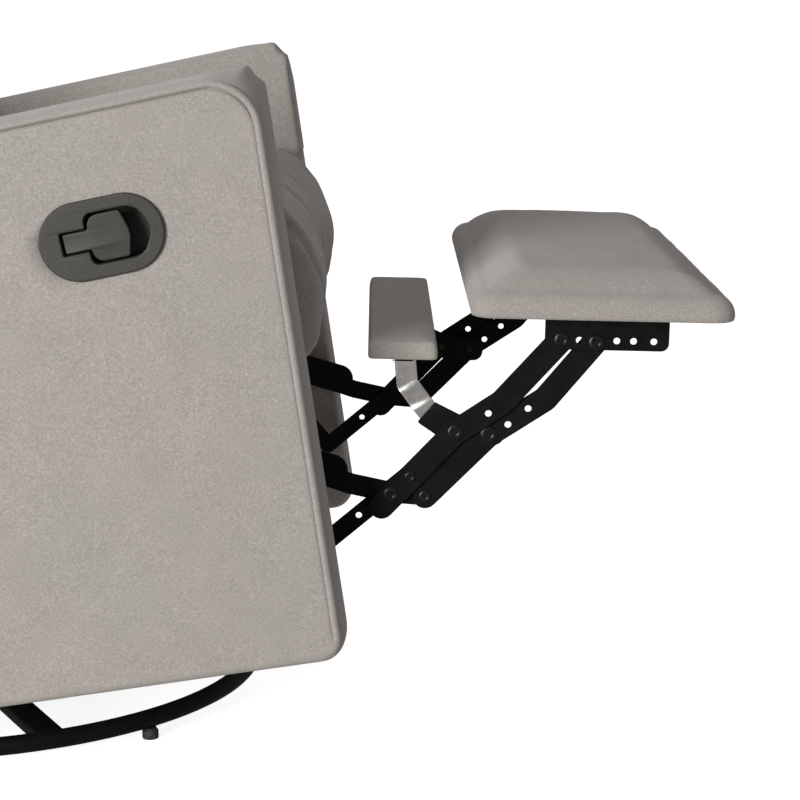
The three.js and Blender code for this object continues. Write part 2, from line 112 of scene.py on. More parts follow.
# ---- materials -----------------------------------------------------------
class Nodes:
    """Short names for building one node material."""

    def __init__(self, name, roughness=0.5, metallic=0.0):
        self.material = bpy.data.materials.new(name)
        self.material.use_nodes = True
        self.tree = self.material.node_tree
        self.shader = self.tree.nodes["Principled BSDF"]
        self.shader.inputs["Roughness"].default_value = roughness
        self.shader.inputs["Metallic"].default_value = metallic
        self.coords = self.add("ShaderNodeTexCoord").outputs["Object"]

    def add(self, kind, **values):
        node = self.tree.nodes.new(kind)
        for key, value in values.items():
            if key in node.inputs:
                node.inputs[key].default_value = value
            else:
                setattr(node, key, value)
        return node

    def link(self, out, into):
        self.tree.links.new(out, into)

    def stretched(self, scale, turn=(0, 0, 0)):
        mapping = self.add("ShaderNodeMapping")
        mapping.inputs["Scale"].default_value = scale
        mapping.inputs["Rotation"].default_value = turn
        self.link(self.coords, mapping.inputs["Vector"])
        return mapping.outputs["Vector"]

    def noise(self, scale, detail=2.0, rough=0.5, vector=None):
        node = self.add("ShaderNodeTexNoise", Scale=scale, Detail=detail, Roughness=rough)
        self.link(vector or self.coords, node.inputs["Vector"])
        return node.outputs["Fac"]

    def wave(self, scale, vector, distortion=0.0, detail=0.0):
        node = self.add("ShaderNodeTexWave", Scale=scale, Distortion=distortion, Detail=detail)
        self.link(vector, node.inputs["Vector"])
        return node.outputs["Fac"]

    def ramp(self, value, stops):
        node = self.add("ShaderNodeValToRGB")
        elements = node.color_ramp.elements
        while len(elements) < len(stops):
            elements.new(0.5)
        for element, (place, colour) in zip(elements, stops):
            element.position = place
            element.color = (*colour, 1)
        self.link(value, node.inputs["Fac"])
        return node.outputs["Color"]

    def math(self, operation, a, b):
        node = self.add("ShaderNodeMath", operation=operation)
        for socket, value in zip(node.inputs, (a, b)):
            if isinstance(value, (int, float)):
                socket.default_value = value
            else:
                self.link(value, socket)
        return node.outputs["Value"]

    def mix(self, kind, amount, a, b):
        node = self.add("ShaderNodeMix", data_type="RGBA", blend_type=kind)
        for socket, value in zip((node.inputs[0], node.inputs[6], node.inputs[7]), (amount, a, b)):
            if isinstance(value, float):
                socket.default_value = value
            elif isinstance(value, tuple):
                socket.default_value = (*value, 1)
            else:
                self.link(value, socket)
        return node.outputs[2]

    def spread(self, value, low, high):
        node = self.add("ShaderNodeMapRange")
        node.inputs["To Min"].default_value = low
        node.inputs["To Max"].default_value = high
        self.link(value, node.inputs["Value"])
        return node.outputs["Result"]

    def bump(self, height, strength, distance):
        node = self.add("ShaderNodeBump", Strength=strength, Distance=distance)
        self.link(height, node.inputs["Height"])
        self.link(node.outputs["Normal"], self.shader.inputs["Normal"])

    def colour(self, out):
        self.link(out, self.shader.inputs["Base Color"])

    def rough(self, out):
        self.link(out, self.shader.inputs["Roughness"])


def fabric_material():
    """Heathered upholstery cloth: fine slubs in two tones over a felted weave."""
    m = Nodes("upholstery_weave", roughness=0.94)
    slub = m.noise(950, 3, 0.7, m.stretched((1, 1, 0.35)))
    cross = m.noise(950, 3, 0.7, m.stretched((0.35, 1, 1)))
    fleck = m.math("MULTIPLY", slub, cross)
    heather = m.ramp(fleck, [(0.12, (0.305, 0.284, 0.266)), (0.27, (0.415, 0.386, 0.362)),
                             (0.42, (0.540, 0.505, 0.477))])
    cloud = m.ramp(m.noise(26, 4, 0.6), [(0.3, (0.93, 0.93, 0.935)), (0.7, (1.0, 1.0, 1.0))])
    patch = m.ramp(m.noise(5.5, 2, 0.5), [(0.3, (0.95, 0.955, 0.965)), (0.7, (1.0, 0.995, 0.99))])
    m.colour(m.mix("MULTIPLY", 1.0, m.mix("MULTIPLY", 1.0, heather, cloud), patch))
    m.rough(m.spread(fleck, 0.86, 1.0))
    weave = m.math("ADD", fleck, m.math("MULTIPLY", m.noise(330, 2, 0.6), 0.6))
    m.bump(weave, 0.55, 0.0007)
    m.shader.inputs["Sheen Weight"].default_value = 0.35
    m.shader.inputs["Sheen Roughness"].default_value = 0.6
    m.shader.inputs["Sheen Tint"].default_value = (0.9, 0.87, 0.84, 1)
    m.shader.inputs["Specular IOR Level"].default_value = 0.2
    return m.material


def black_steel_material():
    """Satin black paint on steel, lightly scuffed."""
    m = Nodes("black_painted_steel", roughness=0.5)
    grain = m.noise(700, 3, 0.6)
    smear = m.noise(60, 4, 0.65)
    wear = m.noise(240, 5, 0.7)
    paint = m.ramp(smear, [(0.3, (0.0045, 0.0045, 0.0045)), (0.75, (0.009, 0.009, 0.009))])
    spots = m.ramp(wear, [(0.72, (0, 0, 0)), (0.80, (0.03, 0.03, 0.029))])
    m.colour(m.mix("ADD", 1.0, paint, spots))
    gloss = m.math("ADD", m.math("MULTIPLY", smear, 0.7), m.math("MULTIPLY", grain, 0.3))
    m.rough(m.spread(gloss, 0.42, 0.64))
    m.bump(grain, 0.2, 0.0003)
    m.shader.inputs["Specular IOR Level"].default_value = 0.1
    return m.material


def zinc_material():
    """Bright zinc-plated steel, brushed along its length."""
    m = Nodes("bright_plated_steel", roughness=0.32, metallic=1.0)
    brush = m.noise(260, 4, 0.7, m.stretched((1.0, 1.0, 0.06), (0, 0.5, 0)))
    cloud = m.noise(70, 3, 0.6)
    m.colour(m.ramp(cloud, [(0.3, (0.50, 0.50, 0.49)), (0.7, (0.74, 0.74, 0.73))]))
    m.rough(m.spread(brush, 0.22, 0.42))
    m.bump(brush, 0.2, 0.0002)
    return m.material


def rivet_material():
    m = Nodes("dark_rivet_steel", roughness=0.3, metallic=0.6)
    cloud = m.noise(300, 4, 0.65)
    m.colour(m.ramp(cloud, [(0.35, (0.007, 0.007, 0.007)), (0.75, (0.03, 0.029, 0.028))]))
    m.rough(m.spread(m.noise(500, 3), 0.22, 0.45))
    m.bump(cloud, 0.2, 0.0002)
    return m.material


def plastic_material():
    """Moulded dark grey-brown plastic with a fine spark-eroded grain."""
    m = Nodes("moulded_plastic", roughness=0.5)
    grain = m.noise(1600, 2, 0.6)
    fleck = m.noise(900, 3, 0.7)
    cloud = m.noise(40, 3)
    tone = m.ramp(fleck, [(0.35, (0.024, 0.022, 0.019)), (0.7, (0.060, 0.058, 0.050))])
    m.colour(m.mix("MULTIPLY", 1.0, tone, m.ramp(cloud, [(0.3, (0.86, 0.87, 0.88)), (0.7, (1, 1, 1))])))
    m.rough(m.spread(fleck, 0.42, 0.6))
    m.bump(grain, 0.35, 0.0003)
    return m.material


def paddle_material():
    m = Nodes("smooth_plastic", roughness=0.42)
    cloud = m.noise(55, 4, 0.6)
    m.colour(m.ramp(cloud, [(0.3, (0.024, 0.025, 0.021)), (0.7, (0.035, 0.036, 0.030))]))
    m.rough(m.spread(m.noise(300, 3), 0.34, 0.48))
    m.bump(m.noise(1400, 2), 0.12, 0.0002)
    return m.material


def rubber_material():
    m = Nodes("glide_rubber", roughness=0.72)
    scuff = m.noise(180, 5, 0.7)
    m.colour(m.ramp(scuff, [(0.4, (0.014, 0.014, 0.014)), (0.75, (0.05, 0.05, 0.048))]))
    m.rough(m.spread(scuff, 0.6, 0.85))
    m.bump(m.noise(800, 3), 0.3, 0.0003)
    return m.material


def plywood_material():
    m = Nodes("deck_plywood", roughness=0.7)
    along = m.stretched((1.0, 14.0, 14.0))
    rings = m.wave(3.2, along, 7.0, 3.0)
    fibre = m.noise(40, 5, 0.7, m.stretched((0.6, 26.0, 26.0)))
    board = m.ramp(rings, [(0.2, (0.33, 0.215, 0.115)), (0.8, (0.52, 0.375, 0.225))])
    m.colour(m.mix("MULTIPLY", 0.6, board, m.ramp(fibre, [(0.3, (0.72, 0.7, 0.68)), (0.7, (1, 1, 1))])))
    m.rough(m.spread(fibre, 0.55, 0.8))
    m.bump(fibre, 0.3, 0.0004)
    return m.material


FABRIC = fabric_material()
STEEL = black_steel_material()
ZINC = zinc_material()
RIVET = rivet_material()
PLASTIC = plastic_material()
PADDLE = paddle_material()
RUBBER = rubber_material()
PLYWOOD = plywood_material()


# ---- mesh helpers --------------------------------------------------------
def finish_object(obj, body, material):
    paint(obj.data, material)
    obj.data.polygons.foreach_set("use_smooth", [True] * len(obj.data.polygons))
    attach(obj, body)


def add_object(name, mesh):
    obj = bpy.data.objects.new(name, mesh)
    SCENE.collection.objects.link(obj)
    return obj


def opened(mesh):
    bm = bmesh.new()
    bm.from_mesh(mesh)
    return bm


def written(bm, mesh):
    bm.to_mesh(mesh)
    bm.free()
    return mesh


def fill_holes(bm):
    bmesh.ops.holes_fill(bm, edges=[edge for edge in bm.edges if edge.is_boundary])


def paint(mesh, material):
    mesh.materials.clear()
    mesh.materials.append(material)


def from_arrays(name, points, faces):
    mesh = bpy.data.meshes.new(name)
    mesh.from_pydata([tuple(p) for p in points], [], faces)
    mesh.validate()
    return add_object(name, mesh)


def ring_faces(rings, count):
    """Quads between neighbouring rings of `count` points each."""
    faces = []
    for low in range(0, (rings - 1) * count, count):
        for i in range(count):
            j = (i + 1) % count
            faces.append((low + i, low + j, low + count + j, low + count + i))
    return faces


def apply_modifiers(obj):
    """Keeps the evaluated shape as the object's own mesh."""
    depsgraph = bpy.context.evaluated_depsgraph_get()
    mesh = bpy.data.meshes.new_from_object(obj.evaluated_get(depsgraph))
    obj.modifiers.clear()
    obj.data = mesh


def to_seat(points):
    """Seat-frame millimetres to row-frame metres, for an array of points."""
    matrix = np.array(SEAT)
    return np.asarray(points, float) @ matrix[:3, :3].T + matrix[:3, 3]


def arc_corner(corner, before, after, steps=14):
    """The points of one rounded corner, and where its arc starts and ends."""
    here = np.array(corner[:2], float)
    back = np.array(before[:2], float) - here
    ahead = np.array(after[:2], float) - here
    back /= np.linalg.norm(back)
    ahead /= np.linalg.norm(ahead)
    half = math.acos(np.clip(back @ ahead, -1, 1)) / 2
    radius = corner[2]
    middle = back + ahead
    middle /= np.linalg.norm(middle)
    centre = here + middle * radius / math.sin(half)
    start = here + back * radius / math.tan(half) - centre
    end = here + ahead * radius / math.tan(half) - centre
    a0 = math.atan2(start[1], start[0])
    turn = math.atan2(start[0] * end[1] - start[1] * end[0], start @ end)
    angles = a0 + turn * np.linspace(0, 1, steps)
    return centre + radius * np.stack([np.cos(angles), np.sin(angles)], 1)


def rounded_corners(corners, steps=14):
    arcs = [
        arc_corner(c, corners[i - 1], corners[(i + 1) % len(corners)], steps)
        for i, c in enumerate(corners)
    ]
    return np.concatenate(arcs)


def resample(points, count):
    """Evenly spaced points round a closed outline, with outward normals."""
    closed = np.vstack([points, points[:1]])
    length = np.concatenate([[0], np.cumsum(np.linalg.norm(np.diff(closed, axis=0), axis=1))])
    at = np.linspace(0, length[-1], count, endpoint=False)
    even = np.stack([np.interp(at, length, closed[:, k]) for k in range(2)], 1)
    tangent = np.roll(even, -1, 0) - np.roll(even, 1, 0)
    tangent /= np.linalg.norm(tangent, axis=1)[:, None]
    normal = np.stack([tangent[:, 1], -tangent[:, 0]], 1)
    return even, normal


def stadium(start, end, half, steps=18):
    angle = math.atan2(end[1] - start[1], end[0] - start[0])
    first = angle - math.pi / 2 + np.linspace(0, math.pi, steps)
    second = first + math.pi
    ends = [(end, first), (start, second)]
    return np.concatenate([
        np.array(at, float) + half * np.stack([np.cos(a), np.sin(a)], 1) for at, a in ends
    ])


def handle_point(along, across):
    c, s = math.cos(HANDLE["tilt"]), math.sin(HANDLE["tilt"])
    return (HANDLE["u"] + along * c - across * s, HANDLE["w"] + along * s + across * c)


def handle_stadium(grow, steps=28):
    half = HANDLE["height"] / 2
    reach = HANDLE["length"] / 2 - half
    return stadium(handle_point(-reach, 0), handle_point(reach, 0), half + grow, steps)


# ---- arms ----------------------------------------------------------------
ARM_POINTS = 620
# Inset from the arm's outline and distance from the chair's middle, over the
# outer welt, across the crowned band and round the inner edge.
ARM_PROFILE = [
    (14.0, 386.0), (11.5, 385.9), (9.8, 385.0), (8.9, 383.0), (8.4, 380.8), (7.9, 382.8), (7.2, 385.3),
    (6.0, 387.2), (4.4, 387.9), (2.8, 387.2), (1.6, 385.4), (1.0, 383.0), (1.1, 380.8), (0.4, 379.4),
    (-0.8, 376.5), (-1.9, 371), (-2.9, 362), (-3.6, 350), (-3.9, 336), (-3.6, 322), (-2.8, 311),
    (-1.8, 303), (-0.6, 298), (0.9, 294.6), (2.6, 292.8), (5.0, 292.1), (9.0, 292.0), (14.0, 292.0),
]
BAND_START = 13
BAND_END = 24
PANEL_RINGS = 22
# Width of the corner's tucks, and how far they and the pleats stand out.
TUCK_WIDTH, TUCK_LIFT, PLEAT_LIFT = 3.2, 3.2, 1.2
CORNER_REACH = 130


def arm_outline():
    def top(u):
        return ARM["top"] + (u - ARM["front"]) * ARM["rise"]

    corners = [
        (ARM["rear"], 0, REAR_RADIUS), (ARM["front"], 0, ARM_LOW_RADIUS),
        (ARM["front"], top(ARM["front"]), ARM_TOP_RADIUS), (ARM["rear"], top(ARM["rear"]), REAR_RADIUS),
    ]
    return resample(rounded_corners(corners), ARM_POINTS)


def reach_to(outline, normal, planes):
    """How far each outline point is from a convex shape, along its own normal."""
    reach = np.full(len(outline), np.inf)
    for (nu, nw), limit in planes:
        toward = normal @ np.array([nu, nw])
        gap = limit - outline @ np.array([nu, nw])
        reach = np.where(toward > 0.05, np.minimum(reach, gap / np.maximum(toward, 0.05)), reach)
    return np.where(np.isfinite(reach), reach, 0)


def corner_fill(outline, normal):
    """Lift that squares the band's top front corner towards the chair's inside."""
    chamfer_from, chamfer_to = np.array(CORNER["front"]), np.array(CORNER["top"])
    along = chamfer_to - chamfer_from
    face = np.array([along[1], -along[0]]) / np.linalg.norm(along)
    rise = math.atan(ARM["rise"])
    top = (-math.sin(rise), math.cos(rise))
    edge = (ARM["front"], ARM["top"])
    planes = [
        ((1.0, 0.0), ARM["front"] + 2), ((face[0], face[1]), face @ chamfer_from),
        (top, top[0] * edge[0] + top[1] * edge[1]),
    ]
    reach = reach_to(outline, normal, planes)
    near = (outline[:, 0] > ARM["front"] - CORNER_REACH) & (outline[:, 1] > ARM["top"] - CORNER_REACH)
    return np.where(near, np.clip(reach, 0, 30), 0)


def corner_gather(outline, normal, fill, across):
    """Outward lift of the band: the squared corner, its two tucks and their pleats."""
    lift = fill * (1 - (1 - across) ** 2)
    here = outline + normal * fill[:, None]
    middle = (np.array(CORNER["front"]) + np.array(CORNER["top"])) / 2
    near = np.exp(-((np.linalg.norm(here - middle, axis=1) / 24) ** 2))
    turn = np.arctan2(here[:, 1] - middle[1] + 40, here[:, 0] - middle[0] + 40)
    pleats = near * (0.7 * np.sin(turn * 41 + across * 3) + 0.4 * np.sin(turn * 73 - across * 5))
    gaps = [np.linalg.norm(here - np.array(end), axis=1) for end in CORNER.values()]
    tucks = sum(np.exp(-((gap / TUCK_WIDTH) ** 2)) for gap in gaps)
    return lift + pleats * across * PLEAT_LIFT + tucks * TUCK_LIFT * across ** 4


def plain_depth(inset):
    """Where the panel's face lies near an edge that has no welt."""
    return PANEL_FACE - 6.6 * ((14 - inset) / 14) ** 5


def ring_to_hole(outline, hole_points, depth):
    """Rings from the panel's edge to a hole's edge, or to a point."""
    shares = np.linspace(0, 1, PANEL_RINGS + 1)[1:]
    return [(outline * (1 - share) + hole_points * share, depth) for share in shares]


def shrunk(outline):
    return outline * 0.02 + outline.mean(0) * 0.98


def matched_hole(outline, centre, shape):
    """The shape's point in the same direction from the centre as each outline point."""
    rel = shape - centre
    order = np.argsort(np.arctan2(rel[:, 1], rel[:, 0]))
    angles = np.arctan2(rel[:, 1], rel[:, 0])[order]
    radii = np.linalg.norm(rel, axis=1)[order]
    want = np.arctan2(outline[:, 1] - centre[1], outline[:, 0] - centre[0])
    radius = np.interp(want, angles, radii, period=2 * math.pi)
    return centre + radius[:, None] * np.stack([np.cos(want), np.sin(want)], 1)


def arm_rings(with_handle):
    """Closed rings (u, w, distance from the middle) from the outer panel to the inner one."""
    outline, normal = arm_outline()
    edge_out = outline - normal * ARM_PROFILE[0][0]
    rings = []
    if with_handle:
        centre = np.array([HANDLE["u"], HANDLE["w"]])
        hole = matched_hole(edge_out, centre, resample(handle_stadium(-6.2), 400)[0])
        for depth in (ARM["outer"] - CUP_DEPTH - 0.6, 358, 368, 380, 385.2):
            rings.append((hole, depth))
    else:
        hole = shrunk(edge_out)
    rings += ring_to_hole(edge_out, hole, PANEL_FACE)[::-1]
    welt = np.clip(0.3 + 1.1 * normal[:, 1], 0, 1)
    fill = corner_fill(outline, normal)
    first, last = ARM_PROFILE[BAND_START][1], ARM_PROFILE[BAND_END][1]
    for index, (inset, depth) in enumerate(ARM_PROFILE):
        across = np.clip((first - depth) / (first - last), 0, 1)
        lift = corner_gather(outline, normal, fill, across) if index >= BAND_START else 0
        offset = -inset + lift
        if index <= BAND_START:
            depth = depth * welt + plain_depth(inset) * (1 - welt)
        rings.append((outline + normal * np.reshape(offset, (-1, 1)), depth))
    edge_in = rings[-1][0]
    return rings + ring_to_hole(edge_in, shrunk(edge_in), ARM["inner"])


def ripple(point, scale, amount):
    return noise.noise(Vector(point) / scale) * amount


def arm_cover(side, sign, with_handle):
    rings = arm_rings(with_handle)
    points = []
    for flat, depths in rings:
        for (u, w), depth in zip(flat, np.broadcast_to(depths, len(flat))):
            push = ripple((u, w, depth * 2), 62, 0.9) + ripple((w, u, depth), 21, 0.35)
            clear = min(1.0, math.hypot(u - HANDLE["u"], w - HANDLE["w"]) / 90) if with_handle else 1.0
            outward = push * (clear ** 4 if depth > 350 else 0.5)
            points.append((u, -sign * (depth + outward), w))
    faces = ring_faces(len(rings), ARM_POINTS)
    faces.append(tuple(range(ARM_POINTS)))
    faces.append(tuple(range((len(rings) - 1) * ARM_POINTS, len(rings) * ARM_POINTS)))
    obj = from_arrays(f"arm_cover_{side}", to_seat(points), faces)
    bm = opened(obj.data)
    bmesh.ops.recalc_face_normals(bm, faces=bm.faces)
    written(bm, obj.data)
    finish_object(obj, "seat", FABRIC)
    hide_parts(f"arm_{side}", f"facing_{side}")


def build_arms():
    arm_cover("right", 1, True)
    arm_cover("left", -1, False)


# ---- plates of the linkage -----------------------------------------------
# Sets a flat drawing into the u,w plane, and a piece turned about y upright.
QUARTER_TURN = Matrix.Rotation(math.pi / 2, 4, "X")


def plate_mesh(outlines, thick, bevel):
    """A flat plate from an outer outline and its holes, edges rounded."""
    curve = bpy.data.curves.new("plate", "CURVE")
    curve.dimensions = "2D"
    curve.fill_mode = "BOTH"
    curve.extrude = thick / 2 - bevel
    curve.bevel_depth = bevel
    curve.bevel_resolution = 2
    curve.offset = -bevel
    for outline in outlines:
        spline = curve.splines.new("POLY")
        spline.points.add(len(outline) - 1)
        for point, (u, w) in zip(spline.points, outline):
            point.co = (u, w, 0, 1)
        spline.use_cyclic_u = True
    holder = add_object("plate", curve)
    mesh = bpy.data.meshes.new_from_object(holder.evaluated_get(bpy.context.evaluated_depsgraph_get()))
    bpy.data.objects.remove(holder)
    bpy.data.curves.remove(curve)
    bm = opened(mesh)
    bmesh.ops.remove_doubles(bm, verts=bm.verts, dist=0.002)
    bm.transform(QUARTER_TURN)
    return written(bm, mesh)


def circle(at, radius, steps=28):
    a = np.linspace(0, 2 * math.pi, steps, endpoint=False)
    return np.array(at, float)[:2] + radius * np.stack([np.cos(a), np.sin(a)], 1)


def chain_outline(points, half, steps=12):
    """The outline of a bar of even width through a chain of points, round at both ends."""
    pts = [np.array(p, float) for p in points]
    outline = []
    for chain in (pts, pts[::-1]):
        for i in range(len(chain) - 1):
            a, b = chain[i], chain[i + 1]
            angle = math.atan2(b[1] - a[1], b[0] - a[0]) - math.pi / 2
            side = np.array([math.cos(angle), math.sin(angle)]) * half
            outline += [a + side, b + side] if i == 0 else [b + side]
            if i < len(chain) - 2:
                c = chain[i + 2]
                after = math.atan2(c[1] - b[1], c[0] - b[0]) - math.pi / 2
                turn = (after - angle + math.pi) % (2 * math.pi) - math.pi
                if turn > 0:
                    outline += arc(b, half, angle, angle + turn, max(2, int(turn * 8)))[1:]
                else:
                    outline[-1] = b + meet(side, after, half)
            else:
                outline += arc(b, half, angle, angle + math.pi, steps)[1:]
    return clean(outline)


def arc(centre, radius, start, end, steps):
    return [
        np.array(centre) + radius * np.array([math.cos(a), math.sin(a)])
        for a in np.linspace(start, end, steps)
    ]


def meet(side, after, half):
    """Where two offset lines meet on the inner side of a bend."""
    other = np.array([math.cos(after), math.sin(after)]) * half
    middle = side + other
    return middle * (half * half) / (half * half + side @ other)


def clean(outline):
    kept = [outline[0]]
    for point in outline[1:]:
        if np.linalg.norm(point - kept[-1]) > 0.05:
            kept.append(point)
    if np.linalg.norm(kept[0] - kept[-1]) < 0.05:
        kept.pop()
    return np.array(kept)


def lathe_mesh(profile, steps=28):
    """A turned piece about y: the profile is (radius, distance along y)."""
    bm = bmesh.new()
    rings = []
    for radius, along in profile:
        ring = [
            bm.verts.new((radius * math.cos(a), along, radius * math.sin(a)))
            for a in np.linspace(0, 2 * math.pi, steps, endpoint=False)
        ]
        rings.append(ring)
    for low, high in zip(rings, rings[1:]):
        for i in range(steps):
            bm.faces.new((low[i], low[(i + 1) % steps], high[(i + 1) % steps], high[i]))
    bm.faces.new(rings[0])
    bm.faces.new(rings[-1])
    bmesh.ops.recalc_face_normals(bm, faces=bm.faces)
    return written(bm, bpy.data.meshes.new("turned"))


def rivet_profile(start, end, head, dome=1.6):
    """Shank from start to end, with a domed head standing out at the end."""
    side = 1 if end > start else -1
    shank = [(PIN_RADIUS * 0.6, start), (PIN_RADIUS, start + side * 0.4), (PIN_RADIUS, end - side * 0.1)]
    cap = [
        (head, end), (head, end + side * 0.5), (head * 0.9, end + side * dome * 0.72),
        (head * 0.62, end + side * dome), (head * 0.42, end + side * dome * 0.86),
        (head * 0.3, end + side * dome * 0.5),
    ]
    return shank + cap


def sharpen_flats(mesh):
    """Keeps wide flat faces flat-shaded up to their rounded edges."""
    bm = opened(mesh)
    for edge in bm.edges:
        flats = [abs(face.normal.y) > 0.9999 and face.calc_area() > FLAT_AREA for face in edge.link_faces]
        if any(flats) and edge.calc_face_angle(0) > 0.05:
            edge.smooth = False
    written(bm, mesh)


def along_y(distance):
    return Matrix.Translation((0, distance, 0))


class Assembly:
    """Meshes in seat-frame millimetres, joined into one object."""

    def __init__(self, name, materials):
        self.name = name
        self.materials = materials
        self.bm = bmesh.new()

    def put(self, mesh, matrix=None, material=0):
        if matrix is not None:
            mesh.transform(matrix)
        before = len(self.bm.faces)
        self.bm.from_mesh(mesh)
        self.bm.faces.ensure_lookup_table()
        for face in self.bm.faces[before:]:
            face.material_index = material
        bpy.data.meshes.remove(mesh)

    def plate(self, outlines, thick, bevel, middle):
        self.put(plate_mesh(outlines, thick, bevel), along_y(middle))

    def done(self, body, slot, nodes, angle=35):
        self.bm.transform(SEAT)
        bmesh.ops.recalc_face_normals(self.bm, faces=self.bm.faces)
        obj = add_object(self.name, written(self.bm, bpy.data.meshes.new(self.name)))
        for material in self.materials:
            obj.data.materials.append(material)
        obj.data.polygons.foreach_set("use_smooth", [True] * len(obj.data.polygons))
        obj.data.set_sharp_from_angle(angle=math.radians(angle))
        sharpen_flats(obj.data)
        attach(obj, body)
        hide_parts(*nodes)


def put_rivets(piece, sign, layer, rivets):
    """Rivets fixed in the plate of a layer, as (place, layer reached, head radius)."""
    for at, reach, head in rivets:
        profile = rivet_profile(-sign * reach, -sign * (layer + LINK_THICK), head)
        piece.put(lathe_mesh(profile), Matrix.Translation((at[0], 0, at[1])), 1)


def link_piece(name, body, sign, outlines, layer, rivets, node):
    """One link: its plate and the rivets fixed in it."""
    piece = Assembly(name, [STEEL, RIVET])
    piece.plate(outlines, LINK_THICK, PLATE_BEVEL, -sign * (layer + LINK_THICK / 2))
    put_rivets(piece, sign, layer, rivets)
    piece.done(body, "steel", [node])


def build_crank(side, sign):
    """A narrow bar to the front links, on a wider plate at the seat."""
    crank = Assembly(f"crank_plate_{side}", [STEEL, RIVET])
    bar = chain_outline([(442, 158), (462.5, 147.5), P1, P2], HALF["crank"])
    wide = stadium(B1, (446, 163), HALF["wide"])
    middle = -sign * (LAYER["crank"] + LINK_THICK / 2)
    crank.plate([bar, circle(P1, PIN_HOLE), circle(P2, PIN_HOLE)], LINK_THICK, PLATE_BEVEL, middle)
    crank.plate([wide, circle(B1, PIN_HOLE)], LINK_THICK - 0.1, PLATE_BEVEL, middle)
    crank.done("cranks", "steel", [f"crank_{side}"])


def build_low_link(side, sign):
    knee, spare = (421, 85), (466.7, 113.1)
    outline = chain_outline([B2, knee, Q], HALF["low"])
    holes = [circle(B2, PIN_HOLE), circle(spare, 3.2), circle(Q, PIN_HOLE)]
    link_piece(f"low_bar_{side}", "low_links", sign,
               [outline, *holes], LAYER["low"], [], f"low_link_{side}")


def build_links():
    for side, sign in SIDES:
        build_crank(side, sign)
        build_low_link(side, sign)
        build_front_links(side, sign)
        build_side_plate(side, sign)
        build_mid_bracket(side, sign)
        build_footrest_bracket(side, sign)


def build_front_links(side, sign):
    """Two bent bars that stay parallel as the footrest moves."""
    tail, bend, spare = shift(P1, (-11, -11)), shift(P1, (122, 76)), shift(P1, (107.5, 67))
    rear = chain_outline([tail, P3, bend, P5], HALF["front"])
    link_piece(f"rear_front_bar_{side}", "rear_front_links", sign,
               [rear, circle(spare, SPARE_HOLE), circle(P5, PIN_HOLE)], LAYER["rear"],
               [(P1, LAYER["crank"], 8), (Q, LAYER["low"], 6), (P3, LAYER["mid"], 8)],
               f"rear_front_link_{side}")
    fore = chain_outline([P2, P4, shift(P2, (132, 80)), P6], HALF["front"])
    spares = [circle(shift(P2, step), SPARE_HOLE) for step in ((92, 60), (114, 73))]
    link_piece(f"fore_front_bar_{side}", "fore_front_links", sign,
               [fore, *spares, circle(P6, PIN_HOLE)], LAYER["fore"],
               [(P2, LAYER["crank"], 6.5), (P4, LAYER["mid"], 9)], f"fore_front_link_{side}")


def build_side_plate(side, sign):
    outline = rounded_corners([
        (B1[0] - 110, B1[1] - 22, 8), (B1[0] + 8, B1[1] - 22, 12), (B2[0] + 22, B2[1] - 8, 10),
        (B2[0] + 14, B2[1] + 12, 8), (B1[0] - 110, B2[1] + 12, 8),
    ], 8)
    piece = Assembly(f"side_plate_cover_{side}", [STEEL, RIVET])
    middle = -sign * (LAYER["side"] + LINK_THICK / 2)
    piece.plate([outline], LINK_THICK, PLATE_BEVEL, middle)
    for at, layer in ((B1, "crank"), (B2, "low")):
        profile = rivet_profile(-sign * LAYER["side"], -sign * (LAYER[layer] + 1.5), PIN_RADIUS, 1.2)
        piece.put(lathe_mesh(profile), Matrix.Translation((at[0], 0, at[1])), 1)
    piece.done("seat", "steel", [f"side_plate_{side}"])


def build_mid_bracket(side, sign):
    tip, tail = (P3[0] - 25.7, P3[1] + 21), (P4[0] + 13, P4[1] - 3)
    outline = rounded_corners([
        (tip[0] - 10.2, tip[1] - 8.7, 2), (P3[0] - 11, P3[1] - 11, 16), (P4[0] - 6, P4[1] - 13, 8),
        (tail[0] + 1, tail[1] - 13, 11), (tail[0] + 4, tail[1] + 12, 11), (P4[0] - 2, P4[1] + 13.5, 8),
        (P3[0] + 8, P3[1] + 13, 16), (tip[0] + 10.2, tip[1] + 8.7, 2),
    ], 8)
    holes = [circle(P3, PIN_HOLE), circle(P4, PIN_HOLE)]
    link_piece(f"mid_plate_{side}", "small_rest", sign,
               [outline, *holes], LAYER["mid"], [], f"mid_bracket_{side}")


def plane_point(centre, along, above):
    c, s = math.cos(PAD_TILT), math.sin(PAD_TILT)
    return (centre[0] + along * c + above * s, centre[1] - along * s + above * c)


def build_footrest_bracket(side, sign):
    low, high = BRACKET["low"], MAIN_PAD["under"] - GAP
    start, end = BRACKET["start"], BRACKET["end"]
    corners = [(start, low, 8), (end, low, 8), (end, high, 1), (start, high, 1)]
    outline = rounded_corners([(*plane_point(P5, a, b), r) for a, b, r in corners], 10)
    piece = Assembly(f"footrest_plate_{side}", [STEEL, RIVET])
    middle = -sign * (LAYER["bracket"] + LINK_THICK / 2)
    holes = [circle(plane_point(P5, a, 0), SPARE_HOLE) for a in BRACKET["holes"]]
    piece.plate([outline, *holes], LINK_THICK, PLATE_BEVEL, middle)
    flange = rounded_corners([
        (*plane_point(P5, a, b), 0.9)
        for a, b in ((start, high - 3), (end, high - 3), (end, high), (start, high))], 4)
    middle = -sign * (LAYER["bracket"] - 10)
    piece.plate([flange], BRACKET["flange"], 0.4, middle)
    put_rivets(piece, sign, LAYER["bracket"], [(P5, LAYER["rear"], 8), (P6, LAYER["fore"], 8)])
    piece.done("main_rest", "steel", [f"footrest_bracket_{side}"])


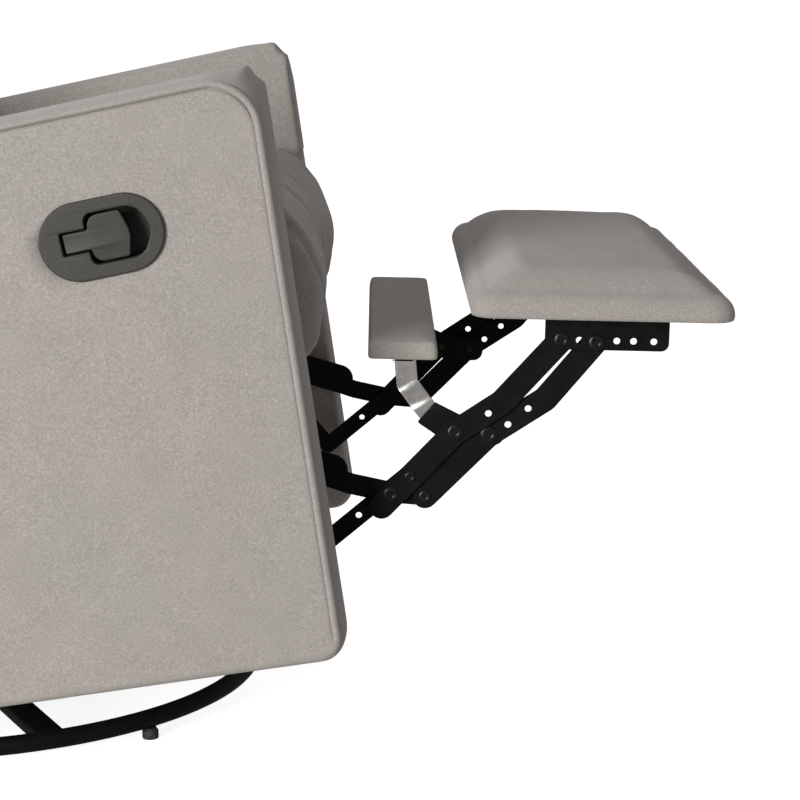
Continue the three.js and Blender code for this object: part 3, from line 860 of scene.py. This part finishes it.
# ---- straps of the small pad ------------------------------------------------
def bend_plate(mesh, start, across, step, run, cut_at, cut_up):
    """Cuts a plate off above a line, and offsets it by `step` along y past a bend line."""
    bm = opened(mesh)
    geometry = bm.verts[:] + bm.edges[:] + bm.faces[:]
    bmesh.ops.bisect_plane(bm, geom=geometry, plane_co=cut_at, plane_no=cut_up, clear_outer=True)
    fill_holes(bm)
    for share in np.linspace(0, 1, BEND_CUTS):
        geometry = bm.verts[:] + bm.edges[:] + bm.faces[:]
        bmesh.ops.bisect_plane(bm, geom=geometry, plane_co=start + across * run * share, plane_no=across)
    for vertex in bm.verts:
        share = min(1, max(0, (vertex.co - start).dot(across) / run))
        vertex.co.y += step * ramp_with_bends(share)
    written(bm, mesh)


def ramp_with_bends(share, bend=0.24):
    """A straight ramp from 0 to 1 with a rounded bend at each end."""
    if share < bend:
        return share ** 2 / (2 * bend * (1 - bend))
    if share > 1 - bend:
        return 1 - (1 - share) ** 2 / (2 * bend * (1 - bend))
    return (share - bend / 2) / (1 - bend)


def in_plane(point):
    return Vector((point[0], 0, point[1]))


def build_straps():
    """Bright cranked straps that carry the small pad from the middle brackets."""
    centre = (SMALL_PAD["u"], SMALL_PAD["w"])
    under = -SMALL_PAD["thick"] / 2 - 0.4
    half, thick = STRAP["half"], STRAP["thick"]
    foot = (P3[0] - 16, P3[1] + 8)
    elbow = plane_point(centre, 5, under - 25)
    outline = chain_outline([foot, elbow, plane_point(centre, 1, under + 12)], half)
    bend = in_plane(plane_point(centre, 5, under - 24))
    across = Vector((STRAP["fold"][0], 0, STRAP["fold"][1])).normalized()
    shelf_corners = ((-half, -thick), (half, -thick), (half, 0), (-half, 0))
    shelf = rounded_corners([(*plane_point(centre, a, under + b), 0.7) for a, b in shelf_corners], 4)
    for side, sign in SIDES:
        strap = Assembly(f"bright_strap_{side}", [ZINC])
        plate = plate_mesh([outline], thick, 0.5)
        plate.transform(along_y(-sign * STRAP["inner"]))
        bend_plate(plate, bend, across, -sign * (STRAP["outer"] - STRAP["inner"]), STRAP["run"],
                   in_plane(plane_point(centre, 0, under - 0.3)), in_plane(PAD_UP))
        strap.put(plate)
        middle = -sign * (STRAP["inner"] - STRAP["shelf"] / 2 + thick / 2)
        strap.plate([shelf], STRAP["shelf"], 0.5, middle)
        strap.done("small_rest", "bright_steel", [f"strap_{side}"], 50)


# ---- padded pieces ---------------------------------------------------------
def board_pad(name, node, body, centre, spec):
    """A pad on a board: flat below, rounded side, crowned top, in the footrest's plane."""
    half_long, half_wide = spec["length"] / 2, spec["half"]
    corner = spec["corner"]
    outline = resample(rounded_corners([
        (-half_long, -half_wide, corner), (half_long, -half_wide, corner),
        (half_long, half_wide, corner), (-half_long, half_wide, corner)]), spec["points"])[0]
    reach = min(half_long, half_wide) - 1
    limit = np.array([half_long - reach, half_wide - reach])
    spine = np.clip(outline, -limit, limit)
    points = []
    profile = pad_profile(spec, reach)
    for inset, height in profile:
        flat = outline + (spine - outline) * (inset / reach)
        for a, y in flat:
            lift = height
            if height > spec["side"] * 0.5:
                lift += spec["bow"] * (1 - (a / half_long) ** 2) * (1 - (y / half_wide) ** 2)
                fine = ripple((y, a, 0), 19, spec["ripple"] * 0.35)
                lift += ripple((a, y, height), 55, spec["ripple"]) + fine
            u, w = plane_point(centre, spec["along"] + a, spec["under"] + lift)
            points.append((u, y, w))
    count = len(outline)
    obj = from_arrays(name, to_seat(points), ring_faces(len(profile), count))
    bm = opened(obj.data)
    bmesh.ops.remove_doubles(bm, verts=bm.verts[-count:], dist=2.1 * MM)
    fill_holes(bm)
    bmesh.ops.recalc_face_normals(bm, faces=bm.faces)
    written(bm, obj.data)
    finish_object(obj, body, FABRIC)
    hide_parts(node)


def pad_profile(spec, reach):
    """(inset, height) from under the pad, round its side and up over its crown."""
    side, thick, soft = spec["side"], spec["thick"], spec["soft"]
    profile = [(reach * share, 0.0) for share in (0.99, 0.6, 0.3)]
    profile += [(soft + 3, 0.0), (soft * 0.55, 0.35), (soft * 0.2, soft * 0.22)]
    profile += [(0.4, soft * 0.6), (0, soft)]
    for share in np.linspace(0, 1, 9)[1:]:
        angle = share * math.pi / 2
        profile.append((spec["round"] * (1 - math.cos(angle)), soft + (side - soft) * math.sin(angle)))
    start = profile[-1][0]
    for share in np.linspace(0, 1, 26)[1:]:
        rise = math.sin(math.pi / 2 * min(1, share / spec["crown"])) ** 0.9
        profile.append((start + (reach * 0.999 - start) * share, side + (thick - side) * rise))
    return profile


def build_pads():
    board_pad("main_pad_cover", "main_pad", "main_rest", P5, MAIN_PAD)
    board_pad("small_pad_cover", "small_pad", "small_rest", (SMALL_PAD["u"], SMALL_PAD["w"]), SMALL_PAD)


def inflated(node, name, body, voxel, shrink, pressure, cap):
    """A stuffed form blown up from its CAD solid by a cloth simulation."""
    obj = add_object(name, NODES[node].data.copy())
    bm = opened(obj.data)
    bmesh.ops.remove_doubles(bm, verts=bm.verts, dist=1e-5)
    bm.transform(SEAT.inverted())
    low = Vector([min(v.co[k] for v in bm.verts) for k in range(3)])
    high = Vector([max(v.co[k] for v in bm.verts) for k in range(3)])
    middle, half = (low + high) / 2, (high - low) / 2
    for vertex in bm.verts:
        for k in range(3):
            vertex.co[k] = middle[k] + (vertex.co[k] - middle[k]) * (half[k] - shrink[k]) / half[k]
    bm.transform(SEAT)
    written(bm, obj.data)
    remesh = obj.modifiers.new("remesh", "REMESH")
    remesh.mode = "VOXEL"
    remesh.voxel_size = voxel
    apply_modifiers(obj)
    simulate(obj, pressure, cap)
    subsurf = obj.modifiers.new("subdivision", "SUBSURF")
    subsurf.levels = 1
    subsurf.render_levels = 1
    apply_modifiers(obj)
    finish_object(obj, body, FABRIC)
    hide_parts(node)
    return obj


def simulate(obj, pressure, cap):
    """Cloth with inner pressure and no gravity; no point moves further than the cap."""
    count = len(obj.data.vertices)
    before = np.zeros(count * 3)
    obj.data.vertices.foreach_get("co", before)
    cloth = obj.modifiers.new("cloth", "CLOTH")
    for key, value in CLOTH.items():
        setattr(cloth.settings, key, value)
    cloth.settings.uniform_pressure_force = pressure
    cloth.settings.effector_weights.gravity = 0
    cloth.collision_settings.use_collision = False
    cloth.point_cache.frame_start = 1
    cloth.point_cache.frame_end = CLOTH_FRAMES
    for step in range(1, CLOTH_FRAMES + 1):
        SCENE.frame_set(step)
    apply_modifiers(obj)
    SCENE.frame_set(1)
    after = np.zeros(count * 3)
    obj.data.vertices.foreach_get("co", after)
    move = (after - before).reshape(-1, 3)
    far = np.linalg.norm(move, axis=1)
    move *= (np.minimum(far, cap) / np.maximum(far, 1e-9))[:, None]
    obj.data.vertices.foreach_set("co", (before.reshape(-1, 3) + move).ravel())
    obj.data.update()


# Seam across the seat's front: distance from the middle and height.
SEAT_SEAM = [(0, 290), (200, 291), (230, 302), (250, 334), (264, 374), (276, 408), (286, 430)]
SEAM = {"depth": 6.5, "width": 5.5, "front": 420, "fade": 25}


def seam_distance(across, height):
    best = np.full(len(across), np.inf)
    for (y0, w0), (y1, w1) in zip(SEAT_SEAM, SEAT_SEAM[1:]):
        step_y, step_w = y1 - y0, w1 - w0
        share = ((across - y0) * step_y + (height - w0) * step_w) / (step_y ** 2 + step_w ** 2)
        share = np.clip(share, 0, 1)
        best = np.minimum(best, np.hypot(across - y0 - share * step_y, height - w0 - share * step_w))
    return best


def sew_seam(obj):
    """Pulls the seat's front in along the seam between its top and its lower roll."""
    mesh = obj.data
    world = np.zeros(len(mesh.vertices) * 3)
    mesh.vertices.foreach_get("co", world)
    outward = np.zeros(len(mesh.vertices) * 3)
    mesh.vertex_normals.foreach_get("vector", outward)
    world, outward = world.reshape(-1, 3), outward.reshape(-1, 3)
    inverse = np.array(SEAT.inverted())
    points = world @ inverse[:3, :3].T + inverse[:3, 3]
    gap = seam_distance(np.abs(points[:, 1]), points[:, 2])
    front = np.clip((points[:, 0] - SEAM["front"]) / SEAM["fade"], 0, 1)
    pull = np.exp(-((gap / SEAM["width"]) ** 2)) * front
    mesh.vertices.foreach_set("co", (world - outward * (pull * SEAM["depth"] * MM)[:, None]).ravel())
    mesh.update()


def build_cushions():
    sew_seam(inflated("seat_cushion", "seat_cushion_cover", "seat", 0.007, (7, 5, 7), 3.5, 0.022))
    for part in ("lower", "middle", "upper"):
        inflated(f"back_cushion_{part}", f"back_cover_{part}", "backrest", 0.010, (7, 6, 7), 4, 0.02)
    inflated("back_shell", "back_shell_cover", "backrest", 0.012, (2, 3, 2), 1, 0.005)


# ---- base -----------------------------------------------------------------
def torus_mesh(radius, tube, height, around=120, section=20):
    points, faces = [], []
    for i in range(around):
        a = 2 * math.pi * i / around
        for j in range(section):
            b = 2 * math.pi * j / section
            r = radius + tube * math.cos(b)
            points.append((r * math.cos(a), r * math.sin(a), height + tube * math.sin(b)))
            nxt = (i + 1) % around
            k = (j + 1) % section
            faces.append((i * section + j, nxt * section + j, nxt * section + k, i * section + k))
    mesh = bpy.data.meshes.new("torus")
    mesh.from_pydata(points, [], faces)
    return mesh


def beveled_box(size, bevel, segments=3):
    bm = bmesh.new()
    bmesh.ops.create_cube(bm, size=1)
    bmesh.ops.scale(bm, verts=bm.verts, vec=size)
    bmesh.ops.bevel(bm, geom=bm.edges[:], offset=bevel, segments=segments, profile=0.5, affect="EDGES")
    return written(bm, bpy.data.meshes.new("box"))


# Half height and half width of the bead of weld round a bar's end, and its depth.
WELD_BEAD = (6.4, 15.2, 5, 1)


def build_base():
    base = Assembly("ring_base", [STEEL])
    base.put(torus_mesh(RING["radius"], RING["tube"], RING["height"]))
    for angle in BAR["angles"]:
        turn = Matrix.Rotation(math.radians(angle), 4, "Z")
        length = 2 * (RING["radius"] - RING["tube"] * 0.55)
        bar = beveled_box((length, BAR["width"], BAR["height"]), 2.2)
        base.put(bar, Matrix.Translation((0, 0, RING["height"])) @ turn)
        for end in (-1, 1):
            reach = end * (RING["radius"] - RING["tube"] - 0.5)
            bead = torus_mesh(1.0, 0.28, 0, 40, 10)
            place = turn @ Matrix.Translation((reach, 0, 0)) @ Matrix.Rotation(math.pi / 2, 4, "Y")
            place = Matrix.Translation((0, 0, RING["height"])) @ place
            base.put(bead, place @ Matrix.Diagonal(WELD_BEAD))
    low = RING["height"] - BAR["height"] / 2
    radius, top, edge = HUB["radius"], HUB["top"], 1.5
    hub = lathe_mesh([(0.5, low), (radius - edge, low), (radius, low + edge),
                      (radius, top - edge), (radius - edge, top), (0.5, top)], 64)
    base.put(hub, QUARTER_TURN)
    base_done(base, "base", "steel", ["base_ring"])
    for index, angle in enumerate(FOOT["angles"]):
        build_foot(index + 1, math.radians(angle))


def base_done(assembly, body, slot, nodes):
    """As Assembly.done, for meshes in row-frame millimetres."""
    assembly.bm.transform(SEAT.inverted() @ Matrix.Scale(MM, 4))
    assembly.done(body, slot, nodes)


def build_foot(index, angle):
    top = RING["height"] - RING["tube"] - 0.3
    r = FOOT["radius"]
    profile = [(0.5, 0), (r - 1.6, 0), (r - 0.5, 0.4), (r, 1.4), (r, 8.6), (r - 0.6, 9.6), (r - 1.6, 10.2),
               (r - 1.8, top), (0.5, top)]
    foot = Assembly(f"glide_foot_{index}", [RUBBER])
    place = Matrix.Translation((RING["radius"] * math.cos(angle), RING["radius"] * math.sin(angle), 0))
    foot.put(lathe_mesh(profile, 36), place @ QUARTER_TURN)
    base_done(foot, "base", "rubber", [f"foot_{index}"])


# ---- handle ---------------------------------------------------------------
# Corners along and across the handle, with their radius.
HOLLOW = [(-38.5, -11, 2), (-13.5, -11, 2), (-13.5, -24.5, 8), (36, -24.5, 18), (49, 0, 22),
          (36, 24.5, 18), (-13.5, 24.5, 8), (-13.5, 11, 2), (-38.5, 11, 2)]
PADDLE_SHAPE = [(-36, -9.4, 1.5), (-11.5, -9.4, 2), (-11.5, -22.4, 11), (22.5, -22.4, 3), (27, -4, 14),
                (26.5, 4, 8), (21, 22.4, 3), (-11.5, 22.4, 11), (-11.5, 9.4, 2), (-36, 9.4, 1.5)]
RIM_THICK = 4
CUP_WALL = 2.5
CUP_INSET = -6.6
PADDLE_THICK = 7


def handle_outline(corners, steps):
    return rounded_corners([(*handle_point(a, b), r) for a, b, r in corners], steps)


def build_handle():
    rim_low = PANEL_FACE + GAP
    floor = ARM["outer"] - CUP_DEPTH
    wall = rim_low - floor - CUP_WALL
    hollow = handle_outline(HOLLOW, 10)
    cup = handle_stadium(CUP_INSET)
    housing = Assembly("handle_bezel", [PLASTIC])
    housing.plate([handle_stadium(0), hollow], RIM_THICK, 1.3, -(rim_low + RIM_THICK / 2))
    housing.plate([cup, hollow], wall, 0.1, -(floor + CUP_WALL + wall / 2))
    housing.plate([cup], CUP_WALL, 0.2, -(floor + CUP_WALL / 2))
    housing.done("seat", "plastic", ["handle_housing"], 40)
    paddle = Assembly("release_paddle", [PADDLE])
    paddle_face = PANEL_FACE + 2
    paddle.plate([handle_outline(PADDLE_SHAPE, 8)], PADDLE_THICK, 1.1, -(paddle_face - PADDLE_THICK / 2))
    paddle.done("paddle", "plastic", ["handle_paddle"], 40)


# ---- CAD nodes that stay ---------------------------------------------------
def dress_inner_nodes():
    for name in ("seat_frame", "swivel_platform", "hanger_front_right", "hanger_front_left",
                 "hanger_rear_right", "hanger_rear_left"):
        paint(NODES[name].data, STEEL)
    paint(NODES["seat_deck"].data, PLYWOOD)


# ---- studio ----------------------------------------------------------------
CAMERA_AT = Vector((0.4794, -2.7, 0.7975))
CAMERA_AHEAD = Vector((0.00543, 0.98401, -0.17802))
CAMERA_UP = Vector((0.0212, 0.17787, 0.98383))
CAMERA_LENS = 2484 / 800 * 36
FLOOR_SIZE = 16
FLOOR_GLOW = 0.86
AMBIENT = 0.27
# Name, place, point aimed at, size, power and colour.
LIGHTS = (
    ("key", (-2.2, -4.3, 1.2), (0.2, 0, 0.45), 1.6, 218, (1.0, 0.985, 0.965)),
    ("top", (0.1, 0.6, 3.2), (0.25, 0, 0.4), 2.2, 9, (0.90, 0.96, 1.0)),
)


def build_studio():
    build_floor()
    build_world()
    for light in LIGHTS:
        add_light(*light)
    SCENE.view_settings.view_transform = "Standard"
    SCENE.view_settings.exposure = 0.0


def build_floor():
    """A pale seamless floor that glows a little, so that shadows on it stay light."""
    bpy.ops.mesh.primitive_plane_add(size=FLOOR_SIZE, location=(0, 0, -0.0005))
    floor = bpy.context.object
    floor.name = "studio_floor"
    m = Nodes("studio_floor", roughness=0.9)
    m.colour(m.ramp(m.noise(3, 3), [(0.3, (0.90, 0.90, 0.90)), (0.7, (0.93, 0.93, 0.93))]))
    m.shader.inputs["Emission Color"].default_value = (1, 1, 1, 1)
    m.shader.inputs["Emission Strength"].default_value = FLOOR_GLOW
    floor.data.materials.append(m.material)
    floor.visible_diffuse = False
    floor.visible_glossy = False


def build_world():
    """White behind the chair, and a dimmer even light on it."""
    world = bpy.data.worlds.new("studio")
    world.use_nodes = True
    tree = world.node_tree
    shown = tree.nodes["Background"]
    shown.inputs["Color"].default_value = (1, 1, 1, 1)
    shown.inputs["Strength"].default_value = 1.05
    ambient = tree.nodes.new("ShaderNodeBackground")
    ambient.inputs["Color"].default_value = (1.0, 0.95, 0.93, 1)
    ambient.inputs["Strength"].default_value = AMBIENT
    seen = tree.nodes.new("ShaderNodeLightPath")
    mix = tree.nodes.new("ShaderNodeMixShader")
    tree.links.new(seen.outputs["Is Camera Ray"], mix.inputs["Fac"])
    tree.links.new(ambient.outputs["Background"], mix.inputs[1])
    tree.links.new(shown.outputs["Background"], mix.inputs[2])
    tree.links.new(mix.outputs["Shader"], tree.nodes["World Output"].inputs["Surface"])
    SCENE.world = world


def add_light(name, at, target, size, energy, colour):
    data = bpy.data.lights.new(name, "AREA")
    data.size = size
    data.energy = energy
    data.color = colour
    light = bpy.data.objects.new(name, data)
    SCENE.collection.objects.link(light)
    light.location = at
    light.rotation_euler = (Vector(target) - Vector(at)).to_track_quat("-Z", "Y").to_euler()


def build_camera():
    data = bpy.data.cameras.new("camera")
    data.lens = CAMERA_LENS
    data.sensor_width = 36
    data.dof.use_dof = False
    camera = bpy.data.objects.new("camera", data)
    SCENE.collection.objects.link(camera)
    back = -CAMERA_AHEAD.normalized()
    right = CAMERA_UP.cross(back).normalized()
    up = back.cross(right)
    turn = Matrix((right, up, back)).transposed().to_4x4()
    camera.matrix_world = Matrix.Translation(CAMERA_AT) @ turn
    SCENE.camera = camera


build_camera()
build_studio()
build_base()
build_arms()
build_handle()
build_links()
build_straps()
build_pads()
build_cushions()
dress_inner_nodes()
